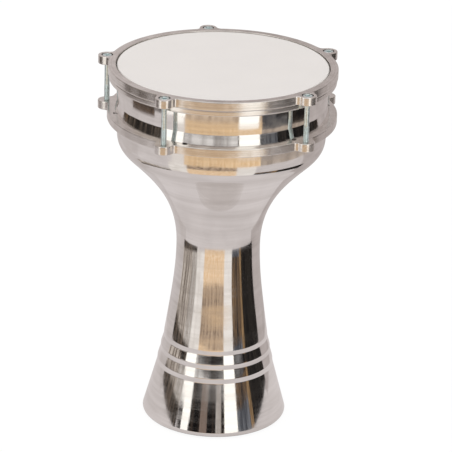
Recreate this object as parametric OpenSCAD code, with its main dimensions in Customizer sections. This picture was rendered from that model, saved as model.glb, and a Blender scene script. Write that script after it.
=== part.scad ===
// A goblet drum: a cast and turned aluminium body with a bolt-tuned synthetic head.
// The origin is on the drum's axis, on the floor under the foot, and +Z points up to the head.
// Five tuning bolts stand round the head, one of them on the +Y side.

/* [Foot] */
// Outer radius of the foot at the floor
foot_r = 77.2; // [75:0.1:79]
// Radius lost with each millimetre of height on the foot
flare = 0.274; // [0.24:0.002:0.3]
// Width of the flat land that the foot stands on
rim_w = 4; // [3.5:0.1:6]
// Rounding of the foot's lower edge
lip_r = 2; // [1:0.1:3]
// Height of the lowest of the three turned steps
step_z = 55.5; // [50:0.5:60]
// Height from one step to the next
step_pitch = 14.8; // [12:0.1:16]
// Height of the upright band of each step
step_h = 5.2; // [3:0.1:6]

/* [Neck and bowl] */
// Thickness of the cast wall
wall = 3; // [2.5:0.1:3.5]
// Outer radius at the narrowest part of the neck
waist_r = 44.1; // [42:0.1:47]
// Height of the narrowest part of the neck
waist_z = 192; // [185:1:198]
// Outer radius of the bowl under the anchor ring
bowl_r = 108.4; // [107:0.1:108.5]
// Height at which the bowl reaches that radius
bowl_z = 312; // [306:1:318]

/* [Head] */
// Height of the whole drum, to the top of the tension hoop
drum_h = 390; // [386:0.5:394]
// Outer radius of the film
film_r = 109.1; // [108.8:0.1:109.3]
// Thickness of the film
film_t = 0.4; // [0.3:0.05:0.6]

/* [Rings] */
// Outer radius of the straight wall above the anchor ring
wall_r = 109; // [108.6:0.1:109.2]
// Height of the anchor ring's underside
anchor_z = 332; // [328:1:336]
// Height of the anchor ring and of the tension hoop
ring_h = 9; // [8:0.5:10]
// Outer radius of the anchor ring
anchor_r = 119; // [117:0.1:120]
// Outer radius of the tension hoop
hoop_r = 118.5; // [117:0.1:119.5]
// Inner radius of the tension hoop
hoop_bore_r = 110.4; // [110:0.1:111]
// Outer radius of the channel that holds the film
channel_r = 117.5; // [116:0.1:118]

/* [Ears and bolts] */
// Radius of the circle that the bolts stand on
bolt_circle_r = 122.1; // [121.5:0.1:123]
// Radius of each ear
ear_r = 9.4; // [8.5:0.1:10]
// Radius of the hollow fillet beside each ear
fillet_r = 5; // [3:0.5:8]
// Length of a bolt under its head
bolt_len = 50; // [46:1:50]
// Length of its threaded end
thread_len = 24; // [18:1:28]

/* [Hidden] */
$fn = 120;

// Foot: the taper between two steps is steeper than the foot's own, and each band narrows a little.
step_count = 3;
step_flare = 0.3;
step_in = 0.4;
step_fall = step_in + step_flare * (step_pitch - step_h);
lip_turns = 6;

// Neck and bowl: the taper that the neck starts with, and the place where the bowl's curve turns.
neck_flare = 0.151;
neck_reach = 45;
waist_reach = 30;
turn_r = 97;
turn_z = 293;
turn_slope = 1.05;
waist_rise = 46;
turn_reach = 29;
curve_turns = 16;
shoulder_turns = 8;
knee_rise = 8.6;
knee_fall = 6;

// Heights round the head, from the top down.
film_drop = 0.5;
film_z = drum_h - film_drop - film_t;
hoop_z = drum_h - ring_h;
channel_h = 6.2;
channel_z = hoop_z - channel_h;
land_z = 373;
land_r = film_r - film_t - 0.3;
edge_round = 1.5;
shoulder_z = anchor_z + ring_h;
shoulder_h = 11;
shoulder_r = 111;
seat_clear = 0.1;

// The film's channel: an open trough with a low inner lip that the collar passes over.
channel_bore_r = 109.6;
trough_r = [110.8, 115.8];
trough_floor = 1.4;
lip_drop = 0.8;
channel_edge = 1.2;
resin_clear = 0.05;
collar_reach = 114;

// Flats on a ring's outline: on a hollow fillet, on an ear and on the ring between two ears.
fillet_flats = 6;
ear_flats = 14;
ring_flats = 16;

// M6 socket head bolts.
bolt_count = 5;
head_r = 5;
head_h = 6;
shank_r = 2.65;
thread_r = 2.95;
thread_bore_r = 3;
clear_bore_r = 3.3;
sink_r = 6;
sink_depth = 6.3;
hex_across = 5;
hex_depth = 3;
tip_chamfer = 0.6;
head_edge = 0.5;
bolt_seat_z = drum_h - sink_depth;

// A point at t along a cubic curve with the corner points a, b, c and d.
function bezier(a, b, c, d, t) =
    pow(1 - t, 3) * a + 3 * t * pow(1 - t, 2) * b + 3 * t * t * (1 - t) * c + pow(t, 3) * d;

// The points of that curve, without its first one.
function curve(a, b, c, d, turns) = [for (i = [1:turns]) bezier(a, b, c, d, i / turns)];

// Radius of the lower and the upper edge of a step's band.
function step_low(i) = foot_r - flare * step_z - i * step_fall;
function step_top(i) = step_low(i) - step_in;
function step_base(i) = step_z + i * step_pitch;

// Where the steps end and the neck begins.
neck_start = [step_top(step_count - 1), step_base(step_count - 1) + step_h];
turn = [turn_r, turn_z];

// The foot's outer line, from the land on the floor to the top step.
foot_line = concat(
    [for (i = [0:lip_turns]) let (a = -90 + 90 * i / lip_turns)
        [foot_r - flare * lip_r - lip_r + lip_r * cos(a), lip_r + lip_r * sin(a)]],
    [for (i = [0:step_count - 1]) each [
        [step_low(i), step_base(i)],
        [step_top(i), step_base(i) + step_h]]]);

// The neck and the bowl in three curves that meet without a corner.
body_line = concat(
    curve(neck_start, neck_start + neck_reach * [-neck_flare, 1],
          [waist_r, waist_z - waist_reach], [waist_r, waist_z], curve_turns),
    curve([waist_r, waist_z], [waist_r, waist_z + waist_rise], turn - turn_reach * [turn_slope, 1], turn,
          curve_turns),
    curve(turn, turn + [turn_slope, 1] * knee_rise, [bowl_r, bowl_z - knee_fall],
          [bowl_r, bowl_z], shoulder_turns));

// The smooth outer line that the inside follows, which leaves the steps out.
smooth_line = concat([[foot_r, 0], neck_start], body_line);

// That line moved inwards by the wall's thickness.
function inward(line, i) =
    let (a = line[max(0, i - 1)], b = line[min(len(line) - 1, i + 1)], d = (b - a) / norm(b - a))
    line[i] + wall * [-d.y, d.x];
inner_line = [for (i = [len(smooth_line) - 1:-1:1]) inward(smooth_line, i)];

// The straight wall over the anchor ring, its shoulder and the rounded bearing edge.
top_line = concat(
    [[bowl_r, shoulder_z], [shoulder_r, shoulder_z], [wall_r, shoulder_z + shoulder_h],
     [wall_r, land_z], [land_r, land_z + 1]],
    [for (i = [0:lip_turns]) let (a = 90 * i / lip_turns)
        [land_r - edge_round + edge_round * cos(a), film_z - edge_round + edge_round * sin(a)]],
    [[bowl_r - wall, film_z]]);

// Points on an arc round c, with the arc's ends and without them.
function arc(c, r, a, b, flats) = [for (i = [0:flats]) let (t = a + (b - a) * i / flats)
    c + r * [cos(t), sin(t)]];
function open_arc(c, r, a, b, flats) = [for (i = [1:flats - 1]) let (t = a + (b - a) * i / flats)
    c + r * [cos(t), sin(t)]];

// A line of points turned by an angle about the drum's axis.
function turned(line, t) = [for (p = line) [p.x * cos(t) - p.y * sin(t), p.x * sin(t) + p.y * cos(t)]];

// The outline of a ring of radius r from the fillet before the +Y ear to the start of the next one:
// fillet, ear, fillet and the stretch of ring that follows. Each fillet's arc touches ring and ear.
function ear_line(r) =
    let (reach = r + fillet_r,
         span = ear_r + fillet_r,
         swing = acos((pow(bolt_circle_r, 2) + pow(reach, 2) - pow(span, 2))
                      / (2 * bolt_circle_r * reach)),
         side = reach * [sin(swing), cos(swing)],
         ear = [0, bolt_circle_r],
         to_ear = atan2(ear.y - side.y, side.x),
         to_ring = atan2(-side.y, side.x))
    concat(arc(side, fillet_r, 180 - to_ring, 180 - to_ear, fillet_flats),
           open_arc(ear, ear_r, -to_ear, 180 + to_ear, ear_flats),
           arc([-side.x, side.y], fillet_r, to_ear, to_ring, fillet_flats),
           open_arc([0, 0], r, 90 + swing, 90 - swing + 360 / bolt_count, ring_flats));

module shell() {
    color([0.80, 0.79, 0.78])
    rotate_extrude()
        polygon(concat(foot_line, body_line, top_line, inner_line,
                       [[foot_r - rim_w - lip_r - wall, rim_w * 3], [foot_r - rim_w - lip_r, 0]]));
}

// Puts its children at each bolt, counted round from the +Y side.
module at_bolts() {
    for (k = [0:bolt_count - 1])
        rotate(360 / bolt_count * k)
            translate([0, bolt_circle_r, 0])
                children();
}

// A ring of outer radius r and inner radius bore_r, with an ear at each bolt and a hole in each ear.
module eared_ring(r, bore_r, hole_r) {
    difference() {
        linear_extrude(ring_h)
            polygon([for (k = [0:bolt_count - 1]) each turned(ear_line(r), 360 / bolt_count * k)]);
        translate([0, 0, -1]) cylinder(r = bore_r, h = ring_h + 2);
        at_bolts() translate([0, 0, -1]) cylinder(r = hole_r, h = ring_h + 2);
    }
}

module anchor_ring() {
    color([0.76, 0.74, 0.72])
    translate([0, 0, anchor_z])
        eared_ring(anchor_r, bowl_r + seat_clear, thread_bore_r);
}

module tension_hoop() {
    color([0.84, 0.83, 0.81])
    translate([0, 0, hoop_z])
        difference() {
            eared_ring(hoop_r, hoop_bore_r, clear_bore_r);
            at_bolts()
                translate([0, 0, ring_h - sink_depth]) cylinder(r = sink_r, h = sink_depth + 1);
        }
}

module flesh_hoop() {
    top = channel_z + channel_h;
    floor_z = channel_z + trough_floor;
    color([0.78, 0.77, 0.76])
    rotate_extrude()
        polygon([[channel_bore_r, channel_z], [channel_r, channel_z],
                 [channel_r, top - channel_edge], [channel_r - channel_edge, top],
                 [trough_r[1], top], [trough_r[1], floor_z], [trough_r[0], floor_z],
                 [trough_r[0], top - lip_drop], [channel_bore_r, top - lip_drop]]);
}

module head_resin() {
    low = channel_z + trough_floor + resin_clear;
    high = channel_z + channel_h - lip_drop;
    color([0.85, 0.80, 0.66])
    rotate_extrude()
        polygon([[trough_r[0] + resin_clear, low], [trough_r[1] - resin_clear, low],
                 [trough_r[1] - resin_clear, high], [trough_r[0] + resin_clear, high]]);
}

// The flat of the film, which lies on the bearing edge.
module head_film() {
    color([0.90, 0.89, 0.88])
    rotate_extrude()
        polygon([[0, film_z], [film_r, film_z], [film_r, film_z + film_t / 2],
                 [film_r - film_t / 2, film_z + film_t], [0, film_z + film_t]]);
}

// The film's skirt, which goes down outside the bearing edge and out into the channel.
module head_collar() {
    foot_z = channel_z + channel_h - lip_drop;
    color([0.88, 0.87, 0.86])
    rotate_extrude()
        polygon([[film_r - film_t, foot_z], [collar_reach, foot_z],
                 [collar_reach, foot_z + film_t], [film_r, foot_z + film_t],
                 [film_r, film_z], [film_r - film_t, film_z]]);
}

// A socket head bolt in ear k, counted round from the +Y side.
module tension_bolt(k) {
    tip = -bolt_len;
    color([0.70, 0.75, 0.76])
    rotate(360 / bolt_count * (k - 1))
        translate([0, bolt_circle_r, bolt_seat_z])
            difference() {
                rotate_extrude()
                    polygon([[0, tip], [thread_r - tip_chamfer, tip], [thread_r, tip + tip_chamfer],
                             [thread_r, tip + thread_len], [shank_r, tip + thread_len],
                             [shank_r, 0], [head_r, 0], [head_r, head_h - head_edge],
                             [head_r - head_edge, head_h], [0, head_h]]);
                translate([0, 0, head_h - hex_depth])
                    cylinder(r = hex_across / sqrt(3), h = hex_depth + 1, $fn = 6);
            }
}

shell();
anchor_ring();
tension_hoop();
flesh_hoop();
head_resin();
head_film();
head_collar();
tension_bolt(1);  // tension_bolt_1
tension_bolt(2);  // tension_bolt_2
tension_bolt(3);  // tension_bolt_3
tension_bolt(4);  // tension_bolt_4
tension_bolt(5);  // tension_bolt_5
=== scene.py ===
import math
import bmesh
import bpy
import numpy as np
from mathutils import Matrix, Vector


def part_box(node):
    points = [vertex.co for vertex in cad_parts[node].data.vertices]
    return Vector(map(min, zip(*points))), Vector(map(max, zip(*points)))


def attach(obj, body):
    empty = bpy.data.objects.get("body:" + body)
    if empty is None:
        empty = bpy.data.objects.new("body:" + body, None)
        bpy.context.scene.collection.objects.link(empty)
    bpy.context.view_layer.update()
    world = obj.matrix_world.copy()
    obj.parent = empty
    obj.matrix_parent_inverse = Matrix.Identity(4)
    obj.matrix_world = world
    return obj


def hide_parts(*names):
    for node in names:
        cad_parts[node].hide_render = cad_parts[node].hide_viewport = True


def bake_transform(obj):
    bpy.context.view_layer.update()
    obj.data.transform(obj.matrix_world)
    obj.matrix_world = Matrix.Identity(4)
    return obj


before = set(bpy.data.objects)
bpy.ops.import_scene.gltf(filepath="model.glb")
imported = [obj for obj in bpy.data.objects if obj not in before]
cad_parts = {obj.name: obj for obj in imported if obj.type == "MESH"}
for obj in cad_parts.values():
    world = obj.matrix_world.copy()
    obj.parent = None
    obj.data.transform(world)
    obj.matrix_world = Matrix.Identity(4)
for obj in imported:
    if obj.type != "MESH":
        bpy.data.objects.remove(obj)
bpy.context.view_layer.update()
mm = 0.001

camera = {
    "tilt": 22.355,        # degrees that it looks down
    "distance": 2721.4,    # mm to the point looked at
    "lookHeight": 210.56,  # mm
    "pan": 0.162,          # degrees
    "roll": 1.653,         # degrees, so the drum's top leans right
    "lens": 205.8,         # mm, on the sensor's width
    "sensor": 36,          # mm
    "farthest": 40,        # metres that it sees
    "turn": -8.07,         # degrees round the drum's axis
}


def placeCamera():
    # looks along the tilted axis, then pans about its own up and rolls about its own line of sight
    tilt, pan, roll = (math.radians(camera[k]) for k in ("tilt", "pan", "roll"))
    forward = Vector((0, math.cos(tilt), -math.sin(tilt)))
    right = Vector((1, 0, 0))
    place = Vector((0, 0, camera["lookHeight"] * mm)) - forward * camera["distance"] * mm
    up = right.cross(forward)
    forward, right = (forward * math.cos(pan) + right * math.sin(pan),
                      right * math.cos(pan) - forward * math.sin(pan))
    right, up = (right * math.cos(roll) + up * math.sin(roll),
                 up * math.cos(roll) - right * math.sin(roll))
    seat = Matrix((right, up, -forward)).transposed().to_4x4()
    seat.translation = place
    data = bpy.data.cameras.new("camera")
    data.lens = camera["lens"]
    data.sensor_width = camera["sensor"]
    data.clip_end = camera["farthest"]
    eye = bpy.data.objects.new("camera", data)
    bpy.context.scene.collection.objects.link(eye)
    eye.matrix_world = Matrix.Rotation(math.radians(camera["turn"]), 4, "Z") @ seat
    bpy.context.scene.camera = eye


placeCamera()
print("camera placed")


def bezier(ends, count):
    # a cubic curve through the first and last of four points, steered by the middle two
    a, b, c, d = np.array(ends, float)
    t = np.linspace(0, 1, count)[:, None]
    return (1 - t) ** 3 * a + 3 * t * (1 - t) ** 2 * b + 3 * t * t * (1 - t) * c + t ** 3 * d


def divided(line, longest):
    # even extra points go into every stretch longer than `longest`, and the old ones stay
    line = np.asarray(line, float)
    gaps = np.linalg.norm(np.diff(line, axis=0), axis=1)
    parts = np.maximum(1, np.ceil(gaps / longest)).astype(int)
    start = np.repeat(np.arange(len(parts)), parts)
    step = np.arange(parts.sum()) - np.repeat(np.cumsum(parts) - parts, parts)
    share = (step / parts[start])[:, None]
    return np.vstack([line[start] * (1 - share) + line[start + 1] * share, line[-1:]])


def eased(line, cut, steps=4, guard=0.08):
    # each inner corner becomes a quadratic arc from `cut` before it to `cut` after it,
    # with a guard point beyond each end that keeps the straight's shading straight
    line = np.asarray(line, float)
    before, at, after = line[:-2], line[1:-1], line[2:]
    back = (before - at) / np.linalg.norm(before - at, axis=1)[:, None]
    ahead = (after - at) / np.linalg.norm(after - at, axis=1)[:, None]
    cut = np.broadcast_to(np.asarray(cut, float), len(at))[:, None]
    t = np.linspace(0, 1, steps + 1)[:, None, None]
    arc = at + (1 - t) ** 2 * cut * back + t ** 2 * cut * ahead
    arc = np.concatenate([(at + (cut + guard) * back)[None], arc, (at + (cut + guard) * ahead)[None]])
    return np.vstack([line[:1], arc.transpose(1, 0, 2).reshape(-1, 2), line[-1:]])


def easedLoop(line, cut, steps=4, guard=0.08):
    # the same for a closed line: it is run past its own start, and the two added ends are dropped
    line = np.asarray(line, float)
    return eased(np.vstack([line[-1:], line, line[:1]]), cut, steps, guard)[1:-1]


def lathe(profile, columns):
    # the profile's (radius, height) points carried round the z axis: r cos, r sin, z
    profile = np.asarray(profile, float)
    angle = np.linspace(0, 2 * np.pi, columns, endpoint=False)
    radius, height = profile[:, :1], profile[:, 1:]
    return np.stack([radius * np.cos(angle), radius * np.sin(angle), height + 0 * angle], -1)


def gridFaces(rows, columns, wrapRows, wrapColumns, offset):
    # every cell of the grid is a quad, and a wrapped direction joins its last line to its first
    rowStarts, columnStarts = np.arange(rows - (not wrapRows)), np.arange(columns - (not wrapColumns))
    i, j = np.meshgrid(rowStarts, columnStarts, indexing="ij")
    near, far = i * columns, (i + 1) % rows * columns
    left, right = j, (j + 1) % columns
    return np.stack([near + left, near + right, far + right, far + left], -1).reshape(-1, 4) + offset


def makePiece(name, patches, material, body, replaced):
    # patches are (points in mm on a grid, wrap rows, wrap columns, smooth): joined, merged where they
    # meet, and turned to face outwards
    points, faces, smooth, count = [], [], [], 0
    for grid, wrapRows, wrapColumns, isSmooth in patches:
        rows, columns = grid.shape[:2]
        cells = gridFaces(rows, columns, wrapRows, wrapColumns, count)
        points.append(grid.reshape(-1, 3))
        faces.append(cells)
        smooth.append(np.full(len(cells), isSmooth))
        count += rows * columns
    mesh = bpy.data.meshes.new(name)
    mesh.from_pydata((np.vstack(points) * mm).tolist(), [], np.vstack(faces).tolist())
    mesh.polygons.foreach_set("use_smooth", np.concatenate(smooth))
    work = bmesh.new()
    work.from_mesh(mesh)
    bmesh.ops.remove_doubles(work, verts=work.verts, dist=0.002 * mm)
    bmesh.ops.recalc_face_normals(work, faces=work.faces)
    work.to_mesh(mesh)
    work.free()
    sides = np.empty(len(mesh.loops), np.int32)
    mesh.loops.foreach_get("edge_index", sides)
    openEdges = np.count_nonzero(np.bincount(sides, minlength=len(mesh.edges)) != 2)   # none if closed
    mesh.materials.append(material)
    piece = bpy.data.objects.new(name, mesh)
    bpy.context.scene.collection.objects.link(piece)
    if body:
        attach(piece, body)
    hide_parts(*replaced)
    print(name, len(mesh.polygons), "faces,", openEdges, "open edges")
    return piece


def linear(code):
    # sRGB hex to linear red, green, blue and alpha
    channels = np.array([int(code[i:i + 2], 16) for i in (1, 3, 5)]) / 255
    values = np.where(channels <= 0.04045, channels / 12.92, ((channels + 0.055) / 1.055) ** 2.4)
    return (*values.tolist(), 1.0)


def addNode(tree, kind, feeds=None, stops=None, **settings):
    # adds a node, gives it its settings, and links or fills each input by its name or number
    node = tree.nodes.new(kind)
    for key, value in settings.items():
        setattr(node, key, value)
    for key, value in (feeds or {}).items():
        if isinstance(value, bpy.types.NodeSocket):
            tree.links.new(value, node.inputs[key])
        else:
            node.inputs[key].default_value = value
    for index, (place, colour) in enumerate(stops or []):
        band = node.color_ramp.elements
        stop = band[index] if index < 2 else band.new(place)
        stop.position = place
        stop.color = colour
    return node


def newMaterial(name):
    material = bpy.data.materials.new(name)
    material.use_nodes = True
    material.node_tree.nodes.clear()
    return material, material.node_tree


stakes = {
    "count": 6, "start": 3,     # marks round the ring, and degrees to the first
    "radius": 112,              # mm from the drum's axis, on the ring's top face
    "wallRadius": 110.6,        # mm, where they bite into the shell
    "height": 341,              # mm, the ring's top face
    "long": 2.4, "wide": 1.2,   # mm, half the length and half the width
    "reach": 0.9,               # mm that a mark climbs the shell
    "depth": 0.35,              # mm
    "dark": "#3A3431",          # painted shade and dirt in the dent
}


def stakeMask(tree, place, radius, low, high):
    # 1 inside the punched dashes that lock the ring: the angle is folded into one share of a turn, and the
    # dash is an ellipse in arc length and radius, between two heights
    parts = addNode(tree, "ShaderNodeSeparateXYZ", {"Vector": place}).outputs
    share = 2 * math.pi / stakes["count"]
    along = addNode(tree, "ShaderNodeMath", {0: parts["Y"], 1: parts["X"]}, operation="ARCTAN2")
    for operation, value in (("ADD", share / 2 - math.radians(stakes["start"])), ("FLOORED_MODULO", share),
                             ("SUBTRACT", share / 2), ("MULTIPLY", stakes["radius"] / stakes["long"])):
        along = addNode(tree, "ShaderNodeMath", {0: along.outputs[0], 1: value}, operation=operation)
    flat = addNode(tree, "ShaderNodeCombineXYZ", {"X": parts["X"], "Y": parts["Y"]})
    reach = addNode(tree, "ShaderNodeVectorMath", {0: flat.outputs[0]}, operation="LENGTH")
    across = addNode(tree, "ShaderNodeMath", {
        0: reach.outputs["Value"], 1: radius * mm}, operation="SUBTRACT")
    across = addNode(tree, "ShaderNodeMath", {
        0: across.outputs[0], 1: 1 / (stakes["wide"] * mm)}, operation="MULTIPLY")
    both = addNode(tree, "ShaderNodeCombineXYZ", {"X": along.outputs[0], "Y": across.outputs[0]})
    size = addNode(tree, "ShaderNodeVectorMath", {0: both.outputs[0]}, operation="LENGTH")
    mask = addNode(tree, "ShaderNodeMapRange", {
        "Value": size.outputs["Value"], "From Min": 1.15, "From Max": 0.75})
    for operation, height in (("GREATER_THAN", low), ("LESS_THAN", high)):
        side = addNode(tree, "ShaderNodeMath", {0: parts["Z"], 1: height * mm}, operation=operation)
        mask = addNode(tree, "ShaderNodeMath", {
            0: mask.outputs[0], 1: side.outputs[0]}, operation="MULTIPLY")
    return mask.outputs[0]


polished = {
    "bright": "#F3F1EF",        # bare aluminium just buffed
    "dull": "#E2DFDC",          # where the film of oxide and wax is thicker
    "roughness": (0.045, 0.13),
    "lineSpacing": 0.8,         # mm between buffing lines; the real ones are finer, but would not show
    "lineLength": 71.43,           # mm that a line runs before it fades
    "lineDepth": 0.0035,        # mm
    "bandHeight": 8.333,          # mm, the cloudy bands that the wheel leaves
    "bandLength": 111.11,          # mm
    "waveSize": 26,             # mm, the slow ripple that a buffing wheel leaves in a casting
    "waveDepth": 0.07,          # mm
}


def polishedAluminium():
    # cast aluminium, turned and buffed on a wheel: a mirror with faint lines round it, a slow
    # ripple that bends what it mirrors, and cloudier bands where the wheel leaned less
    p = polished
    material, tree = newMaterial("polished_cast_aluminium")
    place = addNode(tree, "ShaderNodeTexCoord").outputs["Object"]
    lineScale = (1000 / p["lineLength"], 1000 / p["lineLength"], 1000 / p["lineSpacing"])
    lineMap = addNode(tree, "ShaderNodeMapping", {"Vector": place, "Scale": lineScale})
    lines = addNode(tree, "ShaderNodeTexNoise", {
        "Vector": lineMap.outputs[0], "Scale": 1, "Detail": 3, "Roughness": 0.6})
    bandScale = (1000 / p["bandLength"], 1000 / p["bandLength"], 1000 / p["bandHeight"])
    bandMap = addNode(tree, "ShaderNodeMapping", {"Vector": place, "Scale": bandScale})
    bands = addNode(tree, "ShaderNodeTexNoise", {
        "Vector": bandMap.outputs[0], "Scale": 1, "Detail": 4, "Roughness": 0.55})
    waves = addNode(tree, "ShaderNodeTexNoise", {
        "Vector": place, "Scale": 1000 / p["waveSize"], "Detail": 1})
    gloss = addNode(tree, "ShaderNodeMapRange", {
        "Value": bands.outputs["Fac"], "From Min": 0.35, "From Max": 0.7,
        "To Min": p["roughness"][0], "To Max": p["roughness"][1]})
    tone = addNode(tree, "ShaderNodeValToRGB", {"Fac": bands.outputs["Fac"]},
                   stops=[(0.35, linear(p["bright"])), (0.72, linear(p["dull"]))])
    ripple = addNode(tree, "ShaderNodeBump", {
        "Height": waves.outputs["Fac"], "Distance": p["waveDepth"] * mm})
    scored = addNode(tree, "ShaderNodeBump", {
        "Height": lines.outputs["Fac"], "Distance": p["lineDepth"] * mm, "Normal": ripple.outputs[0]})
    dash = stakeMask(tree, place, stakes["wallRadius"], stakes["height"],
                     stakes["height"] + stakes["reach"])
    finishStaked(tree, dash, tone, gloss, scored)
    return material


def finishStaked(tree, dash, tone, gloss, bump):
    # bare metal with the punched marks sunk into it and darkened with a painted shade colour
    dented = addNode(tree, "ShaderNodeBump", {
        "Height": dash, "Distance": -stakes["depth"] * mm, "Normal": bump.outputs[0]})
    # painted shade: the dent mask mixes the dark colour over the metal's tone
    colour = addNode(tree, "ShaderNodeMix", {
        "Factor": dash, 6: tone.outputs[0], 7: linear(stakes["dark"])}, data_type="RGBA")
    shader = addNode(tree, "ShaderNodeBsdfPrincipled", {
        "Base Color": colour.outputs[2], "Metallic": 1.0, "Roughness": gloss.outputs[0],
        "Normal": dented.outputs[0]})
    addNode(tree, "ShaderNodeOutputMaterial", {"Surface": shader.outputs[0]})


turned = {
    "bright": "#F0EDEA",
    "dull": "#D9D5D1",
    "roughness": (0.16, 0.27),
    "grooveSpacing": 1.1,      # mm between tool marks; the real feed is finer, but would not show
    "grooveDepth": 0.005,      # mm
    "stainSize": 14.286,         # mm
    "stakeBand": 0.3,          # mm above and below the top face in which the stake marks show
    "stakeShift": 0.6,         # mm outwards
}


def turnedAluminium():
    # cast aluminium, faced and turned on a lathe and left as cut: satin, with tool marks that
    # run round the ring and small shifts of tone from one mark to the next
    t = turned
    material, tree = newMaterial("turned_aluminium")
    place = addNode(tree, "ShaderNodeTexCoord").outputs["Object"]
    parts = addNode(tree, "ShaderNodeSeparateXYZ", {"Vector": place})
    flat = addNode(tree, "ShaderNodeCombineXYZ", {"X": parts.outputs["X"], "Y": parts.outputs["Y"]})
    radius = addNode(tree, "ShaderNodeVectorMath", {0: flat.outputs[0]}, operation="LENGTH")
    cut = addNode(tree, "ShaderNodeCombineXYZ", {"X": radius.outputs["Value"], "Z": parts.outputs["Z"]})
    marks = addNode(tree, "ShaderNodeTexNoise", {
        "Vector": cut.outputs[0], "Scale": 1000 / t["grooveSpacing"], "Detail": 3, "Roughness": 0.65})
    stains = addNode(tree, "ShaderNodeTexNoise", {
        "Vector": place, "Scale": 1000 / t["stainSize"], "Detail": 5, "Roughness": 0.6})
    both = addNode(tree, "ShaderNodeMath", {
        0: marks.outputs["Fac"], 1: stains.outputs["Fac"]}, operation="MULTIPLY")
    tone = addNode(tree, "ShaderNodeValToRGB", {"Fac": both.outputs[0]},
                   stops=[(0.16, linear(t["dull"])), (0.34, linear(t["bright"]))])
    gloss = addNode(tree, "ShaderNodeMapRange", {
        "Value": stains.outputs["Fac"], "From Min": 0.3, "From Max": 0.7,
        "To Min": t["roughness"][0], "To Max": t["roughness"][1]})
    bump = addNode(tree, "ShaderNodeBump", {
        "Height": marks.outputs["Fac"], "Distance": t["grooveDepth"] * mm})
    dash = stakeMask(tree, place, stakes["radius"] + t["stakeShift"],
                     stakes["height"] - t["stakeBand"], stakes["height"] + t["stakeBand"])
    finishStaked(tree, dash, tone, gloss, bump)
    return material


rolled = {
    "bright": "#F2EFEC", "dull": "#DCD8D4", "roughness": (0.16, 0.28),
    "lineSpacing": 1.1, "lineLength": 50, "lineDepth": 0.01,   # mm
}


def rolledAluminium():
    # aluminium strip drawn through rolls and bent to a hoop: a soft shine with long faint lines
    r = rolled
    material, tree = newMaterial("rolled_aluminium")
    place = addNode(tree, "ShaderNodeTexCoord").outputs["Object"]
    scale = (1000 / r["lineLength"], 1000 / r["lineLength"], 1000 / r["lineSpacing"])
    along = addNode(tree, "ShaderNodeMapping", {"Vector": place, "Scale": scale})
    lines = addNode(tree, "ShaderNodeTexNoise", {"Vector": along.outputs[0], "Scale": 1, "Detail": 3})
    tone = addNode(tree, "ShaderNodeValToRGB", {"Fac": lines.outputs["Fac"]},
                   stops=[(0.3, linear(r["dull"])), (0.65, linear(r["bright"]))])
    gloss = addNode(tree, "ShaderNodeMapRange", {
        "Value": lines.outputs["Fac"], "To Min": r["roughness"][0], "To Max": r["roughness"][1]})
    bump = addNode(tree, "ShaderNodeBump", {
        "Height": lines.outputs["Fac"], "Distance": r["lineDepth"] * mm})
    shader = addNode(tree, "ShaderNodeBsdfPrincipled", {
        "Base Color": tone.outputs[0], "Metallic": 1.0, "Roughness": gloss.outputs[0],
        "Normal": bump.outputs[0]})
    addNode(tree, "ShaderNodeOutputMaterial", {"Surface": shader.outputs[0]})
    return material


zinc = {
    "blue": "#E3F1F4", "grey": "#D2DFDF", "roughness": (0.22, 0.36),
    "patch": 3.846, "grain": 1.2, "depth": 0.003,   # mm
}


def zincPlatedSteel():
    # steel bolt, electroplated with zinc and blue-passivated: a cool bluish-green cast that
    # drifts in patches, with a fine orange-peel of plating
    z = zinc
    material, tree = newMaterial("zinc_plated_steel")
    place = addNode(tree, "ShaderNodeTexCoord").outputs["Object"]
    patches = addNode(tree, "ShaderNodeTexNoise", {
        "Vector": place, "Scale": 1000 / z["patch"], "Detail": 3})
    grain = addNode(tree, "ShaderNodeTexNoise", {"Vector": place, "Scale": 1000 / z["grain"], "Detail": 2})
    tone = addNode(tree, "ShaderNodeValToRGB", {"Fac": patches.outputs["Fac"]},
                   stops=[(0.35, linear(z["grey"])), (0.6, linear(z["blue"]))])
    gloss = addNode(tree, "ShaderNodeMapRange", {
        "Value": grain.outputs["Fac"], "To Min": z["roughness"][0], "To Max": z["roughness"][1]})
    bump = addNode(tree, "ShaderNodeBump", {"Height": grain.outputs["Fac"], "Distance": z["depth"] * mm})
    shader = addNode(tree, "ShaderNodeBsdfPrincipled", {
        "Base Color": tone.outputs[0], "Metallic": 1.0, "Roughness": gloss.outputs[0],
        "Normal": bump.outputs[0]})
    addNode(tree, "ShaderNodeOutputMaterial", {"Surface": shader.outputs[0]})
    return material


coated = {
    "white": "#F4F2F0", "shade": "#F2F0EE", "roughness": (0.34, 0.44),
    "cloud": 33.333, "grain": 0.7, "depth": 0.003,   # mm
}


def coatedFilm():
    # polyester film sprayed with a white matt coat: an even warm white with a low sheen, and a
    # very fine tooth in the coat
    c = coated
    material, tree = newMaterial("coated_polyester_film")
    place = addNode(tree, "ShaderNodeTexCoord").outputs["Object"]
    cloud = addNode(tree, "ShaderNodeTexNoise", {"Vector": place, "Scale": 1000 / c["cloud"], "Detail": 3})
    tooth = addNode(tree, "ShaderNodeTexNoise", {"Vector": place, "Scale": 1000 / c["grain"], "Detail": 2})
    tone = addNode(tree, "ShaderNodeValToRGB", {"Fac": cloud.outputs["Fac"]},
                   stops=[(0.3, linear(c["shade"])), (0.7, linear(c["white"]))])
    gloss = addNode(tree, "ShaderNodeMapRange", {
        "Value": tooth.outputs["Fac"], "To Min": c["roughness"][0], "To Max": c["roughness"][1]})
    bump = addNode(tree, "ShaderNodeBump", {"Height": tooth.outputs["Fac"], "Distance": c["depth"] * mm})
    shader = addNode(tree, "ShaderNodeBsdfPrincipled", {
        "Base Color": tone.outputs[0], "Roughness": gloss.outputs[0], "IOR": 1.5,
        "Normal": bump.outputs[0]})
    addNode(tree, "ShaderNodeOutputMaterial", {"Surface": shader.outputs[0]})
    return material


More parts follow.
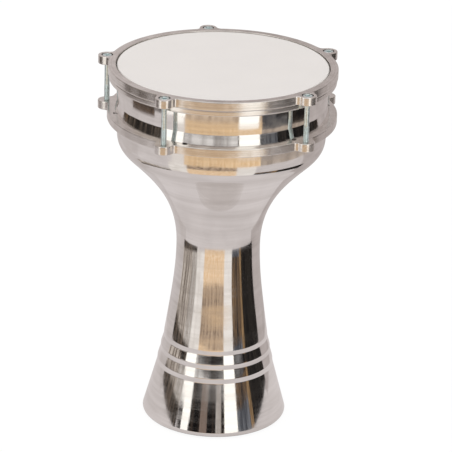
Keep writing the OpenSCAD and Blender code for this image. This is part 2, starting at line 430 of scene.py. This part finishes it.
amber = {"deep": "#8A6128", "pale": "#B98E4A", "roughness": 0.18, "cloud": 11.111}   # cloud in mm


def castResin():
    # clear epoxy poured into the hoop's trough and left to set: amber, glossy, with slow clouds
    material, tree = newMaterial("cast_epoxy_resin")
    place = addNode(tree, "ShaderNodeTexCoord").outputs["Object"]
    cloud = addNode(tree, "ShaderNodeTexNoise", {
        "Vector": place, "Scale": 1000 / amber["cloud"], "Detail": 3})
    tone = addNode(tree, "ShaderNodeValToRGB", {"Fac": cloud.outputs["Fac"]},
                   stops=[(0.3, linear(amber["deep"])), (0.7, linear(amber["pale"]))])
    shader = addNode(tree, "ShaderNodeBsdfPrincipled", {
        "Base Color": tone.outputs[0], "Roughness": amber["roughness"], "IOR": 1.55})
    addNode(tree, "ShaderNodeOutputMaterial", {"Surface": shader.outputs[0]})
    return material


polishedMetal = polishedAluminium()
turnedMetal = turnedAluminium()
rolledMetal = rolledAluminium()
zincMetal = zincPlatedSteel()
filmCoat = coatedFilm()
resinCast = castResin()
print("materials made")

shell = {   # mm
    "columns": 240,
    "footRadius": 76.652, "lip": 2, "footInside": 71.2, "footStep": (68.2, 12),
    "stepHeight": 55.5, "stepPitch": 14.8, "bandHeight": 5.2, "stepCount": 3, "stepRadius": 61.993,
    "stepFall": 3.28, "bandLean": 0.4,
    "neck": [(55.033, 90.3), (48.238, 135.3), (44.1, 162), (44.1, 192)],
    "funnel": [(44.1, 192), (44.1, 238), (66.55, 264), (97, 293)],
    "bowl": [(97, 293), (105.2, 300.8), (108.4, 306.5), (108.4, 316)],
    "top": [(108.4, 316), (108.4, 341), (111, 341), (109, 352), (109, 373), (108.4, 374), (108.4, 387.6)],
    "edgeRadius": 1.5,
    "wall": 3, "wallTop": (105.4, 389.1), "wallFoot": (105.4, 312.2),
    "behindSteps": [(61.2, 57), (55.2, 89.5)],   # the smooth line that the inside follows past the bands
    "edgeBreak": 0.5,          # that each turned corner is eased back
    "row": 3.2, "innerRow": 5, # longest stretch between two rows of the mesh, outside and inside
    "wobble": 0.02,            # of unevenness that hand buffing leaves
    "wobbleFrom": 95, "wobbleTo": 335, "wobbleFade": (25, 20),
    "barrel": 0.14,            # that the upper wall swells between its edges
    "barrelFrom": 352.5, "barrelHeight": 20,
    "barrelOutside": 107,      # the swell leaves the inner wall, which lies within this radius, as it is
}


def quarter(fromAngle, toAngle):
    # cosine and sine along a quarter turn, as seven points
    turn = np.linspace(fromAngle, toAngle, 7)
    return np.stack([np.cos(turn), np.sin(turn)], -1)


def shellOutline():
    # up the outside as foot lip, flare, stepped bands, neck, funnel, bowl and rim; over the bearing
    # edge; down the inside one wall thickness in from the smooth line
    s = shell
    lip = [s["footRadius"] - s["lip"], s["lip"]] + s["lip"] * quarter(-np.pi / 2, 0)
    index = np.arange(s["stepCount"])
    low = [s["stepRadius"], s["stepHeight"]] + index[:, None] * [-s["stepFall"], s["stepPitch"]]
    high = low + [-s["bandLean"], s["bandHeight"]]
    bands = np.stack([low, high], 1).reshape(-1, 2)
    neck, funnel, bowl = bezier(s["neck"], 36), bezier(s["funnel"], 56), bezier(s["bowl"], 16)
    stepped = eased(np.vstack([lip[-1:], bands, neck[1:2]]), s["edgeBreak"], guard=0.3)
    rim = eased(s["top"], s["edgeBreak"] * 0.7, guard=0.3)
    edge = rim[-1] - [s["edgeRadius"], 0] + s["edgeRadius"] * quarter(0, np.pi / 2)
    outside = np.vstack([lip[:-1], divided(stepped, s["row"]), neck[2:], funnel[1:], bowl[1:-1],
                         divided(rim, s["row"]), edge[1:]])
    smooth = np.vstack([[(s["footRadius"] - 0.2, s["lip"] + 10)], divided(s["behindSteps"], s["innerRow"]),
                        neck[1::2], funnel[2::2], bowl[2::2]])
    along = np.gradient(smooth, axis=0)
    along /= np.linalg.norm(along, axis=1)[:, None]
    inside = (smooth + s["wall"] * np.stack([-along[:, 1], along[:, 0]], -1))[1:]
    down = np.vstack([[s["wallTop"], s["wallFoot"]], inside[::-1], [s["footStep"], (s["footInside"], 0)]])
    return np.vstack([outside, divided(down, s["innerRow"])])


def makeShell():
    # the outline lathed, then every point moved out or in by a slow ripple, three sine waves that run 3, 5
    # and 11 times round and lean with height, and by half a sine wave up the upper wall
    s = shell
    line = shellOutline()
    grid = lathe(line, s["columns"])
    angle = np.linspace(0, 2 * np.pi, s["columns"], endpoint=False)[None, :]
    radius, height = line[:, :1], line[:, 1:]
    ripple = (np.sin(3 * angle + height / 19) + np.sin(5 * angle - height / 31 + 1.3)
              + 0.6 * np.sin(11 * angle + height / 13 + 0.4))
    calm = (np.clip((height - s["wobbleFrom"]) / s["wobbleFade"][0], 0, 1)
            * np.clip((s["wobbleTo"] - height) / s["wobbleFade"][1], 0, 1))
    swell = np.sin(np.pi * np.clip((height - s["barrelFrom"]) / s["barrelHeight"], 0, 1))
    swell *= s["barrel"] * (radius > s["barrelOutside"])
    grid[:, :, :2] *= (1 + (s["wobble"] * ripple * calm + swell) / radius)[:, :, None]
    return makePiece("shell_body", [(grid, True, True, True)], polishedMetal, "drum", ["shell"])


makeShell()

hoopRing = {
    "name": "hoop_ring", "node": "tension_hoop", "body": "hoop", "slot": "turned_aluminium",
    "radius": 118.5, "bore": 110.4, "low": 381, "high": 390, "edge": 0.8, "boreEdge": 0.45,
    "hole": [(6, 390), (6, 383.7), (3.3, 383.7), (3.3, 381)], "holeEdge": 0.35,
}
lowerRing = {
    "name": "lower_ring", "node": "anchor_ring", "body": "drum", "slot": "turned_aluminium",
    "radius": 119, "bore": 108.5, "low": 332, "high": 341, "edge": 0.8, "boreEdge": 0.2,
    "hole": [(3, 341), (3, 332)], "holeEdge": 0.4,
}
ears = {
    "count": 5, "start": 90,                              # degrees to the first
    "circle": 122.1, "radius": 9.4, "fillet": 5,          # mm, the bolts' circle, an ear and its fillets
    "filletSteps": 7, "earSteps": 22, "ringSteps": 34, "boreSteps": 14,
}


def earOutline(radius, inset):
    # one ear with a fillet on each side, then the ring's arc to the next ear. The ear's axis is +y, and
    # the inset line keeps the same centres: ring and ear shrink by it, and the fillets grow by it
    outer, ear, fillet = radius - inset, ears["radius"] - inset, ears["fillet"] + inset
    reach, away = ears["circle"], radius + ears["fillet"]
    between = ears["radius"] + ears["fillet"]
    swing = math.acos((reach ** 2 + away ** 2 - between ** 2) / (2 * reach * away))
    side = np.array([math.sin(swing), math.cos(swing)]) * away
    toEar = math.atan2(reach - side[1], -side[0])
    toRing = math.atan2(-side[1], -side[0])
    leave = math.atan2(side[1] - reach, side[0])
    lobe = np.linspace(math.pi / 2, leave, ears["earSteps"] // 2 + 1)
    curl = np.linspace(toEar, toRing, ears["filletSteps"] + 1)
    right = np.vstack([
        [0, reach] + ear * np.stack([np.cos(lobe), np.sin(lobe)], -1),
        (side + fillet * np.stack([np.cos(curl), np.sin(curl)], -1))[1:]])
    ear = np.vstack([right[:0:-1] * [-1, 1], right])
    pitch = 2 * math.pi / ears["count"]
    arc = np.linspace(swing, pitch - swing, ears["ringSteps"] + 1)
    return ear, outer * np.stack([np.sin(arc), np.cos(arc)], -1)


def turnedBy(points, angle):
    # flat points times the turning matrix, cosine and sine over minus sine and cosine
    c, s = math.cos(angle), math.sin(angle)
    return points @ np.array([[c, s], [-s, c]])


def lifted(points, height):
    # flat points given a height
    height = np.broadcast_to(np.asarray(height, float), points.shape[:-1])
    return np.concatenate([points, height[..., None]], -1)


def brokenEdge(low, high, edge, steps=4, guard=0.06):
    # inset and height of an upright wall whose two edges are quarter rounds
    turn = np.linspace(0, np.pi / 2, steps + 1)
    inset, rise = edge * (1 - np.sin(turn)), edge * (1 - np.cos(turn))
    inset = np.concatenate([inset, [0, 0], inset[::-1]])
    middle = [low + edge + guard, high - edge - guard]
    height = np.concatenate([low + rise, middle, (high - rise)[::-1]])
    return inset, height


def makeRing(ring):
    # outer wall and bore wall are upright lines with rounded edges carried round the outline. The top
    # and bottom are strips between bore and outline, and fans from each ear's hole to the ear's edge
    inset, height = brokenEdge(ring["low"], ring["high"], ring["edge"])
    boreInset, boreHeight = brokenEdge(ring["low"], ring["high"], ring["boreEdge"])
    pitch = 2 * math.pi / ears["count"]
    start = math.radians(ears["start"] - 90)
    outlines = [earOutline(ring["radius"], i) for i in inset]
    ear, arc = outlines[0]
    inner = ring["bore"] + ring["boreEdge"]
    swing = math.atan2(arc[0, 0], arc[0, 1])
    earBore = np.linspace(-swing, swing, ears["boreSteps"] + 1)
    arcBore = np.arctan2(arc[:, 0], arc[:, 1])
    boreAngles = np.concatenate([earBore[:-1], arcBore[:-1]])
    share = np.linspace(0, 1, 5)[:, None, None]
    arcFoot = inner * np.stack([np.sin(arcBore), np.cos(arcBore)], -1)
    strip = arcFoot + (arc - arcFoot) * share
    earFoot = inner * np.stack([np.sin(earBore), np.cos(earBore)], -1)
    leftEdge, rightEdge = turnedBy(strip[:, -1], pitch), strip[:, 0]
    rim = np.vstack([leftEdge[:-1], ear[:-1], rightEdge[:0:-1], earFoot[:0:-1]])
    hub = np.array([0, ears["circle"]])
    ray = np.arctan2(rim[:, 1] - hub[1], rim[:, 0] - hub[0])
    spoke = np.stack([np.cos(ray), np.sin(ray)], -1)
    topHole = ring["hole"][0][0] + ring["holeEdge"]
    lowHole = ring["hole"][-1][0] + ring["holeEdge"]
    topFan = (hub + topHole * spoke) + (rim - hub - topHole * spoke) * share
    lowFan = (hub + lowHole * spoke) + (rim - hub - lowHole * spoke) * share
    well = [(topHole, ring["high"]), *ring["hole"], (lowHole, ring["low"])]
    holeLine = eased(well, ring["holeEdge"] * 0.9, guard=0.02)
    patches = []
    for k in range(ears["count"]):
        angle = start + k * pitch
        wall = np.stack([np.vstack([o[0], o[1][1:]]) for o in outlines])
        patches.append((lifted(turnedBy(wall, angle), height[:, None]), False, False, True))
        radius = ring["bore"] + boreInset[:, None]
        loop = np.append(boreAngles, pitch - swing)
        boreWall = radius[..., None] * np.stack([np.sin(loop), np.cos(loop)], -1)
        patches.append((lifted(turnedBy(boreWall, angle), boreHeight[:, None]), False, False, True))
        for z, fan in ((ring["high"], topFan), (ring["low"], lowFan)):
            patches.append((lifted(turnedBy(strip, angle), z), False, False, False))
            patches.append((lifted(turnedBy(fan, angle), z), False, True, False))
        pipe = hub + holeLine[:, :1, None] * spoke
        patches.append((lifted(turnedBy(pipe, angle), holeLine[:, 1:]), False, True, True))
    return makePiece(ring["name"], patches, turnedMetal, ring["body"], [ring["node"]])


makeRing(hoopRing)
makeRing(lowerRing)

fleshHoop = {   # mm
    "columns": 240,
    "line": [(109.6, 374.8), (117.5, 374.8), (117.5, 381), (115.8, 381), (115.8, 376.2), (110.8, 376.2),
             (110.8, 380.2), (109.6, 380.2)],
    "cuts": [0.3, 1.6, 1.35, 0.2, 0.4, 0.4, 0.2, 0.2],   # how far back each corner is eased
}
resinRing = {   # mm
    "columns": 192,
    "line": [(110.85, 376.25), (115.75, 376.25), (115.75, 380.2), (110.85, 380.2)],
    "cut": 0.3,
}
head = {   # mm
    "columns": 240, "top": 389.5, "thick": 0.4, "outer": 109.1, "flange": 114, "flangeHeight": 380.6,
    "bends": [1.7, 0.6], "innerBends": [0.3, 1.4], "row": 9,
    "skirtFrom": 388.5, "skirtTo": 380.5,   # heights between which the film stretches
}


def makeFleshHoop():
    # the channel's section, its corners eased, lathed
    line = easedLoop(fleshHoop["line"], fleshHoop["cuts"], guard=0.05)
    return makePiece("flesh_channel", [(lathe(line, fleshHoop["columns"]), True, True, True)],
                     rolledMetal, "hoop", ["flesh_hoop"])


def makeResin():
    # the filling's section, slightly eased, lathed
    line = easedLoop(resinRing["line"], resinRing["cut"])
    return makePiece("resin_filling", [(lathe(line, resinRing["columns"]), True, True, True)],
                     resinCast, "hoop", ["head_resin"])


def makeFilm():
    # out along the playing face, over a bend onto the collar, out onto the flange, and back on the
    # underside, lathed
    h = head
    inner, under = h["outer"] - h["thick"], h["flangeHeight"] - h["thick"]
    above = eased([(0, h["top"]), (h["outer"], h["top"]), (h["outer"], h["flangeHeight"]),
                   (h["flange"], h["flangeHeight"])], h["bends"], steps=8, guard=0.3)
    below = eased([(h["flange"], under), (inner, under), (inner, h["top"] - h["thick"]),
                   (0, h["top"] - h["thick"])], h["innerBends"], steps=8, guard=0.3)
    line = np.vstack([divided(above, h["row"]), divided(below, h["row"])])
    film = makePiece("drum_head", [(lathe(line, h["columns"]), False, True, True)],
                     filmCoat, None, ["head_film", "head_collar"])
    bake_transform(film)
    return film


makeFleshHoop()
makeResin()
makeFilm()

bolt = {   # mm
    "columns": 48, "seat": 383.7, "headRadius": 5, "headTop": 389.7, "shank": 2.65,
    "thread": 2.95, "root": 2.45, "pitch": 1.0, "threadLow": 333.7, "threadHigh": 357.7, "runOut": 1.2,
    "hexAcross": 5, "hexDepth": 3, "hexRim": 3.3, "drillPoint": 0.9, "tip": 0.6,
    "rowsPerTurn": 10, "turnEach": 23,   # degrees that each bolt is turned from the last
}


def makeBolt(number):
    # one grid from the socket's floor to the tip. Each row has a height and a radius that is a mix of a
    # circle and a hexagon. Along the thread the radius follows a triangle wave of height and angle,
    # which makes a helix
    b = bolt
    low, high = (np.array(corner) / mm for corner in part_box(f"tension_bolt_{number}"))
    centre = (low[:2] + high[:2]) / 2
    local = np.linspace(0, 2 * np.pi, b["columns"], endpoint=False)
    angle = local + math.radians(number * b["turnEach"])
    hexagon = (b["hexAcross"] / 2) / np.cos((local + np.pi / 6) % (np.pi / 3) - np.pi / 6)
    top, floor, rim = b["headTop"], b["headTop"] - b["hexDepth"], b["hexRim"]
    socket = np.array([   # circle's radius, share of hexagon, hexagon's scale, height
        (0, 0, 1, floor - b["drillPoint"]), (2.2, 0, 1, floor), (0, 1, 1, floor), (0, 1, 1, floor + 0.05),
        (0, 1, 1, top - 0.4), (0, 1, 1.04, top - 0.15), (0, 1, 1.12, top - 0.05),
        (rim - 0.05, 0, 1, top), (rim, 0, 1, top)])
    circle, share, scale, socketHeight = (socket[:, i:i + 1] for i in range(4))
    outside = eased([(rim, top), (b["headRadius"], top), (b["headRadius"], b["seat"]),
                     (b["shank"], b["seat"]), (b["shank"], b["threadHigh"] + 0.4)],
                    [0.7, 0.2, 0.3], guard=0.05)[1:]
    threaded = b["threadHigh"] - b["threadLow"] - b["tip"]
    rows = int(threaded / b["pitch"] * b["rowsPerTurn"])
    height = np.linspace(b["threadHigh"], b["threadLow"] + b["tip"], rows)[:, None]
    wave = np.abs(((height / b["pitch"] - local / (2 * np.pi)) % 1) * 2 - 1)
    fade = np.clip((b["threadHigh"] - height) / b["runOut"], 0, 1)
    cut = b["thread"] - (b["thread"] - b["root"]) * np.clip(wave * 1.25 - 0.1, 0, 1)
    screwed = cut * fade + b["shank"] * (1 - fade)
    end = np.array([[b["root"] - 0.1], [0]])
    radii = np.vstack([circle * (1 - share) + hexagon * scale * share, outside[:, :1] + 0 * local,
                       screwed, end + 0 * local])
    heights = np.vstack([socketHeight, outside[:, 1:], height, [[b["threadLow"]]] * 2]) + 0 * local
    grid = np.stack([centre[0] + radii * np.cos(angle), centre[1] + radii * np.sin(angle), heights], -1)
    return makePiece(f"bolt_{number}", [(grid, False, True, True)], zincMetal, f"bolt_{number}",
                     [f"tension_bolt_{number}"])


for number in range(1, 6):
    makeBolt(number)

studio = {
    "roomDark": "#151313", "roomPale": "#3D342F",   # what mirrors see past the cards
    "skyLight": "#FFFCFA", "skyStrength": 0.92,     # what lights the matt pieces
    "floorSide": 9, "floorHeight": -0.002,          # metres, half the white floor's side, and its height
    "floorGlow": 0.93, "floorMatt": 0.1,
    "stripsFrom": -0.0018, "stripStep": 0.0001,     # metres, each floor strip lies a little over the last
    "ceilingRadius": 2.4, "ceilingHeight": 3.4,     # metres
    "ceilingColours": ("#FFFFFF", "#F4F0EC"), "ceilingPatch": 0.5, "ceilingGlow": 1.15,
}
# bearings from and to, inner and outer radius in metres, two colours and the size of their patches
floors = {
    "white_sheet": (0, 360, 0.0755, 7.0, "#D7D0CF", "#D1CAC9", 0.25),
    "sheet_left": (180, 262, 0.3, 7.0, "#CDC6C5", "#C6BEBC", 0.25),
    "sheet_right": (98, 180, 0.3, 7.0, "#BEB5B3", "#B5ACAA", 0.25),
    "near_wood": (-35, 17.3, 0.385, 0.72, "#F9DFC0", "#E6C096", 0.03),
    "mid_wood": (-35, 17.3, 0.72, 0.915, "#CDB59D", "#6A594D", 0.05),
    "near_lamp_left": (-56, -35, 0.42, 0.915, "#F4EFEA", "#E2DBD5", 0.1),
    "near_lamp_right": (17.3, 37.5, 0.385, 0.915, "#F4EFEA", "#EFE9E4", 0.1),
    "far_wood": (-38, 42, 0.915, 1.17, "#F3D5AE", "#DDB78B", 0.04),
    "far_white": (-52, -38, 0.915, 1.1, "#E6DFDA", "#E6DFDA", 1),
    "far_grey": (42, 105, 0.915, 1.0, "#B5A698", "#9C8E82", 0.1),
    "far_slate": (42, 72, 1.0, 1.8, "#4C4B4E", "#6F6C6A", 0.15),
    "far_black": (72, 105, 1.0, 1.8, "#1E1B1A", "#332C28", 0.15),
    "far_brown": (-108, -74, 1.07, 1.9, "#6E5C4E", "#3C322B", 0.05),
    "dark_floor": (-52, 42, 1.17, 2.2, "#D5BFA8", "#A99480", 0.1),
}
# bearings from and to, distance, lowest and highest point in metres, two colours, patch size, strength
cards = {
    "backdrop_left": (182, 246, 1.5, 0, 3.0, "#CFC7C6", "#C2B9B7", 0.3, 1.0),
    "backdrop_right": (106, 182, 1.5, 0, 3.0, "#BFB6B4", "#ACA3A1", 0.5, 1.0),
    "lamp_left_foot": (-50.5, -39, 1.05, 0, 0.05, "#FFFCF6", "#FFFCF6", 1, 1.2),
    "lamp_left": (-60, -37.5, 1.06, 0.05, 2.4, "#FFFCF6", "#FFFCF6", 1, 1.3),
    "lamp_right": (17.5, 38.5, 1.03, 0, 2.4, "#FFFCF6", "#FFFCF6", 1, 1.3),
    "door_low": (4, 13, 2.6, 0.05, 0.28, "#C4BCB6", "#8E8680", 0.1, 1.0),
    "shelf_low": (-21, -10, 2.8, 0.05, 0.28, "#8B7A70", "#74655C", 0.1, 1.0),
    "wall_mid": (-38, 17, 2.7, 0.28, 0.4, "#E2DEDB", "#A39D99", 0.5, 1.0),
    "wall_high": (-120, 110, 2.7, 0.8, 4.5, "#C8BFB8", "#B3A9A2", 0.6, 1.0),
    "slate_mid": (40, 95, 2.7, 0.29, 0.4, "#8C8B8C", "#6A6867", 0.4, 1.0),
    "slate_low": (40, 72, 2.9, 0.05, 0.28, "#6E6F73", "#47484C", 0.12, 1.0),
    "rail_pale": (-78, -70, 2.9, 0.05, 2.0, "#B5AEA8", "#4A4440", 0.06, 1.0),
    "left_mid": (-124, -78, 1.45, 0.06, 0.6, "#2B2622", "#6E5B49", 0.08, 1.0),
    "right_mid": (72, 118, 1.45, 0.06, 0.6, "#26221F", "#4A3D33", 0.08, 1.0),
    "left_gloom": (-110, -60, 1.2, 0, 0.55, "#1E1C1B", "#5A5048", 0.05, 1.0),
    "right_gloom": (58, 110, 1.2, 0, 0.55, "#171616", "#37322F", 0.05, 1.0),
    "side_stripes": (-69, -54.5, 0.385, 0.03, 0.086, "#DAD4CF", "#8D837A", 0.008, 1.0),
    "side_brown": (-104, -69, 0.385, 0.03, 0.086, "#CBC1B8", "#5A4C40", 0.016, 1.0),
    "side_bark": (-104, -56, 0.385, 0, 0.03, "#2C2926", "#6A5D53", 0.014, 1.0),
    "side_slate": (36.5, 58, 0.385, 0, 0.04, "#45474D", "#74767C", 0.014, 1.0),
    "side_crate": (36.5, 58, 0.385, 0.04, 0.086, "#7A634D", "#2C2A2B", 0.012, 1.0),
    "side_slat": (58, 63, 0.385, 0, 0.086, "#A88A66", "#5A4635", 0.012, 1.0),
    "side_black": (63, 103, 0.385, 0, 0.086, "#1B1919", "#34302C", 0.012, 1.0),
}


def glow(name, first, second, patch, strength=1.0):
    # a lit surface whose two tones lie in upright streaks or patches
    material, tree = newMaterial(name)
    place = addNode(tree, "ShaderNodeTexCoord").outputs["Object"]
    scale = (1 / patch, 1 / patch, 0.35 / patch)
    streaks = addNode(tree, "ShaderNodeMapping", {"Vector": place, "Scale": scale})
    noise = addNode(tree, "ShaderNodeTexNoise", {"Vector": streaks.outputs[0], "Scale": 1, "Detail": 3})
    tone = addNode(tree, "ShaderNodeValToRGB", {"Fac": noise.outputs["Fac"]},
                   stops=[(0.42, linear(first)), (0.6, linear(second))])
    light = addNode(tree, "ShaderNodeEmission", {"Color": tone.outputs[0], "Strength": strength})
    addNode(tree, "ShaderNodeOutputMaterial", {"Surface": light.outputs[0]})
    return material


def addCard(name, grid, material):
    # a glowing card that only mirrors see
    mesh = bpy.data.meshes.new(name)
    faces = gridFaces(*grid.shape[:2], False, False, 0)
    mesh.from_pydata(grid.reshape(-1, 3).tolist(), [], faces.tolist())
    mesh.materials.append(material)
    card = bpy.data.objects.new(name, mesh)
    bpy.context.scene.collection.objects.link(card)
    card.visible_camera = False
    card.visible_diffuse = False
    card.visible_shadow = False
    return card


def bearing(degrees):
    # an angle round the drum: 0 towards the camera, positive to the camera's right
    return math.radians(degrees - 90 + camera["turn"])


def uprightCard(name, fromSide, toSide, distance, low, high, material, steps=48):
    # part of an upright cylinder round the drum, between two bearings and two heights
    angle = np.linspace(bearing(fromSide), bearing(toSide), steps + 1)
    ring = np.stack([np.cos(angle), np.sin(angle)], -1) * distance
    grid = np.stack([np.column_stack([ring, np.full(len(ring), z)]) for z in (low, high)])
    return addCard(name, grid, material)


def floorCard(name, fromSide, toSide, inner, outer, height, material, steps=96):
    # part of a flat ring on the floor, between two bearings
    angle = np.linspace(bearing(fromSide), bearing(toSide), steps + 1)
    grid = np.stack([np.column_stack([r * np.cos(angle), r * np.sin(angle), np.full(steps + 1, height)])
                     for r in (inner, outer)])
    return addCard(name, grid, material)


def makeCards():
    # floor strips, standing cards and a ceiling
    s = studio
    for layer, (name, (fromSide, toSide, inner, outer, first, second, patch)) in enumerate(floors.items()):
        height = s["stripsFrom"] + s["stripStep"] * layer
        floorCard(name, fromSide, toSide, inner, outer, height, glow(name + "_glow", first, second, patch))
    for name, (*place, first, second, patch, strength) in cards.items():
        uprightCard(name, *place, glow(name + "_glow", first, second, patch, strength))
    ceiling = glow("ceiling_glow", *s["ceilingColours"], s["ceilingPatch"], s["ceilingGlow"])
    floorCard("ceiling", 0, 360, 0.0005, s["ceilingRadius"], s["ceilingHeight"], ceiling)


def makeFloor():
    # a white square that mirrors don't see, and that is clear from below
    side, height = studio["floorSide"], studio["floorHeight"]
    mesh = bpy.data.meshes.new("floor")
    corners = [(-side, -side, height), (side, -side, height), (side, side, height), (-side, side, height)]
    mesh.from_pydata(corners, [], [(0, 1, 2, 3)])
    material, tree = newMaterial("floor_white")
    shine = addNode(tree, "ShaderNodeEmission", {"Color": (1, 1, 1, 1), "Strength": studio["floorGlow"]})
    matt = addNode(tree, "ShaderNodeBsdfDiffuse", {"Color": (*[studio["floorMatt"]] * 3, 1)})
    both = addNode(tree, "ShaderNodeAddShader", {0: shine.outputs[0], 1: matt.outputs[0]})
    under = addNode(tree, "ShaderNodeNewGeometry").outputs["Backfacing"]
    clear = addNode(tree, "ShaderNodeBsdfTransparent")
    fromAbove = addNode(tree, "ShaderNodeMixShader", {0: under, 1: both.outputs[0], 2: clear.outputs[0]})
    addNode(tree, "ShaderNodeOutputMaterial", {"Surface": fromAbove.outputs[0]})
    mesh.materials.append(material)
    floor = bpy.data.objects.new("floor", mesh)
    bpy.context.scene.collection.objects.link(floor)
    floor.visible_glossy = False


def makeWorld():
    # white to the camera, an even soft light to matt surfaces, and a dark cluttered room to mirrors
    world = bpy.data.worlds.new("studio")
    world.use_nodes = True
    tree = world.node_tree
    tree.nodes.clear()
    path = addNode(tree, "ShaderNodeLightPath").outputs
    place = addNode(tree, "ShaderNodeTexCoord").outputs["Generated"]
    tall = addNode(tree, "ShaderNodeMapping", {"Vector": place, "Scale": (9, 9, 2)})
    clutter = addNode(tree, "ShaderNodeTexNoise", {"Vector": tall.outputs[0], "Scale": 1, "Detail": 4})
    room = addNode(tree, "ShaderNodeValToRGB", {"Fac": clutter.outputs["Fac"]},
                   stops=[(0.45, linear(studio["roomDark"])), (0.68, linear(studio["roomPale"]))])
    dark = addNode(tree, "ShaderNodeBackground", {"Color": room.outputs[0], "Strength": 1.0})
    soft = addNode(tree, "ShaderNodeBackground", {
        "Color": linear(studio["skyLight"]), "Strength": studio["skyStrength"]})
    seen = addNode(tree, "ShaderNodeBackground", {"Color": (1, 1, 1, 1), "Strength": 1.0})
    mirrored = addNode(tree, "ShaderNodeMixShader", {
        0: path["Is Glossy Ray"], 1: soft.outputs[0], 2: dark.outputs[0]})
    final = addNode(tree, "ShaderNodeMixShader", {
        0: path["Is Camera Ray"], 1: mirrored.outputs[0], 2: seen.outputs[0]})
    addNode(tree, "ShaderNodeOutputWorld", {"Surface": final.outputs[0]})
    bpy.context.scene.world = world
    bpy.context.scene.view_settings.view_transform = "Standard"


makeCards()
makeFloor()
makeWorld()
print("studio built")
